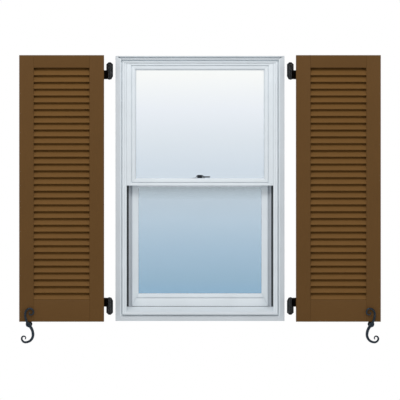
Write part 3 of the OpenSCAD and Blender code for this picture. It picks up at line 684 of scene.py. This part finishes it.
class OBJECT_OT_forge_hinges(bpy.types.Operator):
    """Makes the leaves and pintles, with rounded edges and a black coat"""

    bl_idname = "shutters.forge_hinges"
    bl_label = "Hinges and screws"

    def execute(self, context):
        coat = coated_iron(
            "powder_coated_iron", colours().iron, metallic=0.1, roughness=(0.14, 0.22),
            grain_mm=0.5, grain_depth_mm=0.03,
        )
        for side in SIDES:
            for part in ("upper_leaf", "lower_leaf", "upper_pintle", "lower_pintle"):
                node = f"{side}_{part}"
                piece = merged_copy(node, node + "_forged")
                round_edges(piece, sizes().iron_arris, 2, 30)
                shade_by_angle(piece, 35)
                dress(piece, node, coat)
            for part in ("leaf_screws", "pintle_screws"):
                paint_node(f"{side}_{part}", coat)
        return {"FINISHED"}


class OBJECT_OT_forge_dogs(bpy.types.Operator):
    """Forges the S hooks, their posts with threaded lags, and their cap nuts"""

    bl_idname = "shutters.forge_dogs"
    bl_label = "Shutter dogs"

    def execute(self, context):
        black = coated_iron(
            "blacked_forged_iron", colours().forged, metallic=0.85, roughness=(0.16, 0.3),
            grain_mm=1.2, grain_depth_mm=0.2,
        )
        for side in SIDES:
            hook = merged_copy(f"{side}_dog_hook", f"{side}_dog_hook_forged")
            self.forge(hook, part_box(f"{side}_dog_cap"))
            dress(hook, f"{side}_dog_hook", black)
            cap = merged_copy(f"{side}_dog_cap", f"{side}_dog_cap_faceted")
            round_edges(cap, 0.9 * MM, 2, 30)
            shade_by_angle(cap, 25)
            dress(cap, f"{side}_dog_cap", black)
            post = self.thread_post(side)
            dress(post, f"{side}_dog_post", black)
        return {"FINISHED"}

    def forge(self, hook, cap_box):
        """Draws the ends thinner, rounds the section and leaves hammer marks."""
        low, high = (Vector(c) for c in (hook.bound_box[0], hook.bound_box[6]))
        middle = (low.y + high.y) / 2
        pivot = (cap_box[0] + cap_box[1]) / 2
        # The bar keeps its thickness round the boss and loses this share of it by the far end.
        boss, far_end, lost = 16 * MM, 85 * MM, 0.4
        for vertex in hook.data.vertices:
            away = math.hypot(vertex.co.x - pivot.x, vertex.co.z - pivot.z)
            drawn = min(1.0, max(0.0, (away - boss) / (far_end - boss)))
            vertex.co.y = middle + (vertex.co.y - middle) * (1 - lost * drawn)
        round_edges(hook, 2.3 * MM, 3, 30)
        skin = hook.modifiers.new("skin", "REMESH")
        skin.mode = "VOXEL"
        skin.voxel_size = 0.8 * MM
        marks = bpy.data.textures.new("hammer_marks", "CLOUDS")
        marks.noise_scale = 9 * MM
        marks.noise_depth = 1
        dents = hook.modifiers.new("dents", "DISPLACE")
        dents.texture = marks
        dents.texture_coords = "LOCAL"
        dents.strength = sizes().hammer_depth * 2
        dents.mid_level = 0.75
        smooth = hook.modifiers.new("smooth", "SMOOTH")
        smooth.iterations = 3
        apply_all(hook)
        shade_by_angle(hook, 180)

    def thread_post(self, side):
        """The post as drawn, with its lag end turned down and wound with a thread."""
        node = f"{side}_dog_post"
        post = merged_copy(node, node + "_threaded")
        round_edges(post, 0.5 * MM, 1, 40)
        low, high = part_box(node)
        centre = (low + high) / 2
        crest, root = 5 * MM, 3.7 * MM
        shank_end, start, tip = 6 * MM, 4 * MM, high.y
        point_length, point_flat, point_share = 10 * MM, 0.2 * MM, 0.15
        take_up(post)
        bpy.ops.object.mode_set(mode="EDIT")
        bpy.ops.mesh.select_all(action="SELECT")
        bpy.ops.mesh.bisect(
            plane_co=(0, shank_end, 0), plane_no=(0, 1, 0), clear_outer=True, use_fill=True
        )
        bpy.ops.object.mode_set(mode="OBJECT")
        turns = int((tip - start) / sizes().lag_pitch)
        pitch = (tip - start) / turns
        core = tube_along(
            "lag_core",
            [(centre.x, y, centre.z) for y in (start, tip - point_length, tip - point_flat)],
            root, 24,
        )
        for vertex in core.data.vertices:
            if vertex.co.y > tip - 5 * point_flat:
                vertex.co.x = centre.x + (vertex.co.x - centre.x) * point_share
                vertex.co.z = centre.z + (vertex.co.z - centre.z) * point_share
        ridge = self.wind_thread(centre, start, tip, pitch, turns, root, crest)
        clear_selection()
        for part in (core, ridge, post):
            part.select_set(True)
        bpy.context.view_layer.objects.active = post
        bpy.ops.object.join()
        shade_by_angle(post, 35)
        return post

    def wind_thread(self, centre, start, tip, pitch, turns, root, crest):
        """A tapering ridge of triangular section wound round the core."""
        steps, fade_length, half_foot = 20, 12 * MM, 0.3 * pitch
        sunk, least_root, least_rise = 0.9, 0.2, 0.05
        points, faces = [], []
        total = turns * steps
        for i in range(total + 1):
            angle = 2 * math.pi * i / steps
            y = start + (tip - start - pitch) * i / total
            fade = min(1.0, (tip - y) / fade_length, (i + 1) / steps)
            core = root * min(1, fade + least_root)
            peak = core + (crest - root) * max(least_rise, fade)
            foot = core * sunk
            for radius, dy in ((foot, -half_foot), (peak, 0.0), (foot, half_foot)):
                points.append((
                    centre.x + radius * math.cos(angle), max(start, y + pitch / 2 + dy),
                    centre.z + radius * math.sin(angle),
                ))
        for i in range(total):
            a, b = 3 * i, 3 * (i + 1)
            for j in range(3):
                k = (j + 1) % 3
                faces.append((a + j, b + j, b + k, a + k))
        faces.append((0, 1, 2))
        faces.append((3 * total + 2, 3 * total + 1, 3 * total))
        mesh = bpy.data.meshes.new("lag_thread")
        mesh.from_pydata(points, [], faces)
        ridge = bpy.data.objects.new("lag_thread", mesh)
        bpy.context.scene.collection.objects.link(ridge)
        take_up(ridge)
        bpy.ops.object.mode_set(mode="EDIT")
        bpy.ops.mesh.select_all(action="SELECT")
        bpy.ops.mesh.normals_make_consistent(inside=False)
        bpy.ops.object.mode_set(mode="OBJECT")
        return ridge


class OBJECT_OT_make_lock(bpy.types.Operator):
    """Rounds the sash lock's base, lever and keeper and enamels them"""

    bl_idname = "shutters.make_lock"
    bl_label = "Sash lock"

    def execute(self, context):
        enamel = coated_iron(
            "baked_enamel", colours().lock, metallic=0.2, roughness=(0.25, 0.4),
            grain_mm=0.4, grain_depth_mm=0.04,
        )
        for node in ("sash_lock_base", "sash_lock_lever", "sash_lock_keeper"):
            piece = merged_copy(node, node + "_cast")
            round_edges(piece, sizes().lock_arris, 3, 35)
            shade_by_angle(piece, 40)
            dress(piece, node, enamel)
        return {"FINISHED"}


class OBJECT_OT_hang_balances(bpy.types.Operator):
    """Twists the balance rods and finishes the tubes, shoes and seals"""

    bl_idname = "shutters.hang_balances"
    bl_label = "Balances and seals"

    def execute(self, context):
        zinc = drawn_metal("zinc_plated_steel", colours().steel, (900, 900, 20))
        nylon = moulded_nylon()
        for side in SIDES:
            paint_node(f"{side}_balance_tube", zinc)
            shoe = merged_copy(f"{side}_balance_shoe", f"{side}_balance_shoe_moulded")
            round_edges(shoe, 1.2 * MM, 3)
            shade_by_angle(shoe, 35)
            dress(shoe, f"{side}_balance_shoe", nylon)
            rod = self.twist_rod(side)
            dress(rod, f"{side}_balance_rod", zinc)
        paint_node("meeting_rail_pile", woven_pile())
        rubber = extruded_rubber()
        paint_node("sill_bulb_seal", rubber)
        # The black seals in the track grooves are real seals, and their darkness also stands in
        # for the shade deep in the grooves.
        paint_node("track_seals", rubber)
        return {"FINISHED"}

    def twist_rod(self, side):
        """A flat bar twisted along its length, as in a spiral balance."""
        low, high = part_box(f"{side}_balance_rod")
        centre, radius = (low + high) / 2, (high.y - low.y) / 2
        height = high.z - low.z
        # A flat bar whose corners just stay inside the round bar of the CAD.
        wide, thick = radius * 1.85, radius * 0.6
        cuts_per_turn = 10
        clear_selection()
        bpy.ops.mesh.primitive_cube_add(size=1, location=centre, scale=(wide, thick, height))
        rod = bpy.context.active_object
        rod.name = f"{side}_balance_rod_twisted"
        bpy.ops.object.transform_apply(location=False, rotation=False, scale=True)
        bpy.ops.object.mode_set(mode="EDIT")
        select_edges(rod, lambda a, b: abs(a.z - b.z) > height / 2)
        cuts = int(height / sizes().rod_twist_pitch * cuts_per_turn)
        bpy.ops.mesh.subdivide(number_cuts=cuts)
        bpy.ops.object.mode_set(mode="OBJECT")
        twist = rod.modifiers.new("twist", "SIMPLE_DEFORM")
        twist.deform_method = "TWIST"
        twist.deform_axis = "Z"
        twist.angle = 2 * math.pi * height / sizes().rod_twist_pitch
        apply_all(rod)
        bpy.ops.object.transform_apply(location=True, rotation=True, scale=True)
        shade_by_angle(rod, 40)
        return rod


# ---------------------------------------------------------------- stage


class OBJECT_OT_set_stage(bpy.types.Operator):
    """Lays the floor and sets the lamps, the surround and the camera"""

    bl_idname = "shutters.set_stage"
    bl_label = "Floor, light and camera"

    def execute(self, context):
        scene = context.scene
        self.lay_floor(scene.shutter_studio)
        self.light(scene)
        self.aim_camera(scene)
        scene.view_settings.view_transform = "Standard"
        return {"FINISHED"}

    def lay_floor(self, studio):
        """A pale floor, low enough to stay below the camera's view."""
        clear_selection()
        width, depth, towards_viewer, level = 16, 14, -1, -0.8
        bpy.ops.mesh.primitive_plane_add(size=1, location=(0, towards_viewer, level))
        floor = bpy.context.active_object
        floor.name = "studio_floor"
        floor.scale = (width, depth, 1)
        bpy.ops.object.transform_apply(location=True, rotation=True, scale=True)
        material, tree = new_material("matt_floor")
        shader = add(
            tree, "ShaderNodeBsdfPrincipled",
            inputs={"Base Color": opaque(studio.floor), "Roughness": 0.8},
        )
        finish_material(tree, shader.outputs["BSDF"])
        floor.data.materials.append(material)

    def light(self, scene):
        studio = scene.shutter_studio
        world = bpy.data.worlds.new("studio_surround")
        world.use_nodes = True
        tree = world.node_tree
        tree.nodes.clear()
        path = add(tree, "ShaderNodeLightPath").outputs["Is Camera Ray"]
        seen = add(
            tree, "ShaderNodeBackground", inputs={"Color": (1, 1, 1, 1), "Strength": 1.0}
        ).outputs["Background"]
        lit = add(
            tree, "ShaderNodeBackground",
            inputs={"Color": (0.95, 0.975, 1.0, 1), "Strength": studio.surround},
        ).outputs["Background"]
        both = add(tree, "ShaderNodeMixShader", inputs={0: path, 1: lit, 2: seen})
        add(tree, "ShaderNodeOutputWorld", inputs={"Surface": both.outputs["Shader"]})
        scene.world = world
        rise = studio.key_height
        self.lamp("key", (-0.06, -math.cos(rise), math.sin(rise)), (2.2, 2.2), studio.key_power)
        self.lamp("fill_behind", (0.35, 0.85, 0.45), (4.0, 4.0), power=60)
        for across in (-0.8, 0.8):
            self.lamp("side_strip", (across, -0.6, 0.1), (0.35, 3.5), power=26)

    def lamp(self, name, direction, size, power):
        """An area lamp, of a width and height, that faces the object from a direction."""
        target, distance = (cad_low + cad_high) / 2, 6.0
        data = bpy.data.lights.new(name, "AREA")
        data.energy = power
        data.shape = "RECTANGLE"
        data.size, data.size_y = size
        lamp = bpy.data.objects.new(name, data)
        aim = Vector(direction).normalized()
        lamp.location = target + aim * distance
        lamp.rotation_mode = "QUATERNION"
        lamp.rotation_quaternion = aim.to_track_quat("Z", "Y")
        bpy.context.scene.collection.objects.link(lamp)

    def aim_camera(self, scene):
        """A long lens, level and square on, that takes in the object and its margins."""
        distance, eye_level, sensor = 14.0, 0.577, 36.0
        # The width that is seen at the shutters' faces, which stand this far out from the wall.
        seen_width, faces_out = 1.9024, 0.05
        data = bpy.data.cameras.new("camera")
        data.sensor_width = sensor
        data.lens = sensor * (distance - faces_out) / seen_width
        data.clip_end = 100
        camera = bpy.data.objects.new("camera", data)
        camera.location = (0, -distance, eye_level)
        camera.rotation_euler = (math.radians(90), 0, 0)
        scene.collection.objects.link(camera)
        scene.camera = camera


class VIEW3D_PT_shutters(bpy.types.Panel):
    """Lists the steps that dress the shutters and the window"""

    bl_label = "Louvred shutters"
    bl_space_type = "VIEW_3D"
    bl_region_type = "UI"
    bl_category = "Shutters"

    def draw(self, context):
        layout = self.layout
        for group in ("shutter_colours", "shutter_sizes", "shutter_studio"):
            values = getattr(context.scene, group)
            column = layout.column(align=True)
            for key in values.__annotations__:
                column.prop(values, key)
        for step in STEPS:
            layout.operator(step.bl_idname)


GROUPS = {
    "shutter_colours": ShutterColours,
    "shutter_sizes": ShutterSizes,
    "shutter_studio": StudioValues,
}
STEPS = (
    OBJECT_OT_trim_vinyl, OBJECT_OT_glaze, OBJECT_OT_join_timber, OBJECT_OT_forge_hinges,
    OBJECT_OT_forge_dogs, OBJECT_OT_make_lock, OBJECT_OT_hang_balances, OBJECT_OT_set_stage,
)


def register():
    for kind in (*GROUPS.values(), *STEPS, VIEW3D_PT_shutters):
        bpy.utils.register_class(kind)
    for name, kind in GROUPS.items():
        setattr(bpy.types.Scene, name, bpy.props.PointerProperty(type=kind))


def unregister():
    for name in GROUPS:
        delattr(bpy.types.Scene, name)
    for kind in (VIEW3D_PT_shutters, *reversed(STEPS), *reversed(GROUPS.values())):
        bpy.utils.unregister_class(kind)


def main():
    register()
    bpy.ops.shutters.trim_vinyl()
    bpy.ops.shutters.glaze()
    bpy.ops.shutters.join_timber()
    bpy.ops.shutters.forge_hinges()
    bpy.ops.shutters.forge_dogs()
    bpy.ops.shutters.make_lock()
    bpy.ops.shutters.hang_balances()
    bpy.ops.shutters.set_stage()


if __name__ == "__main__":
    main()
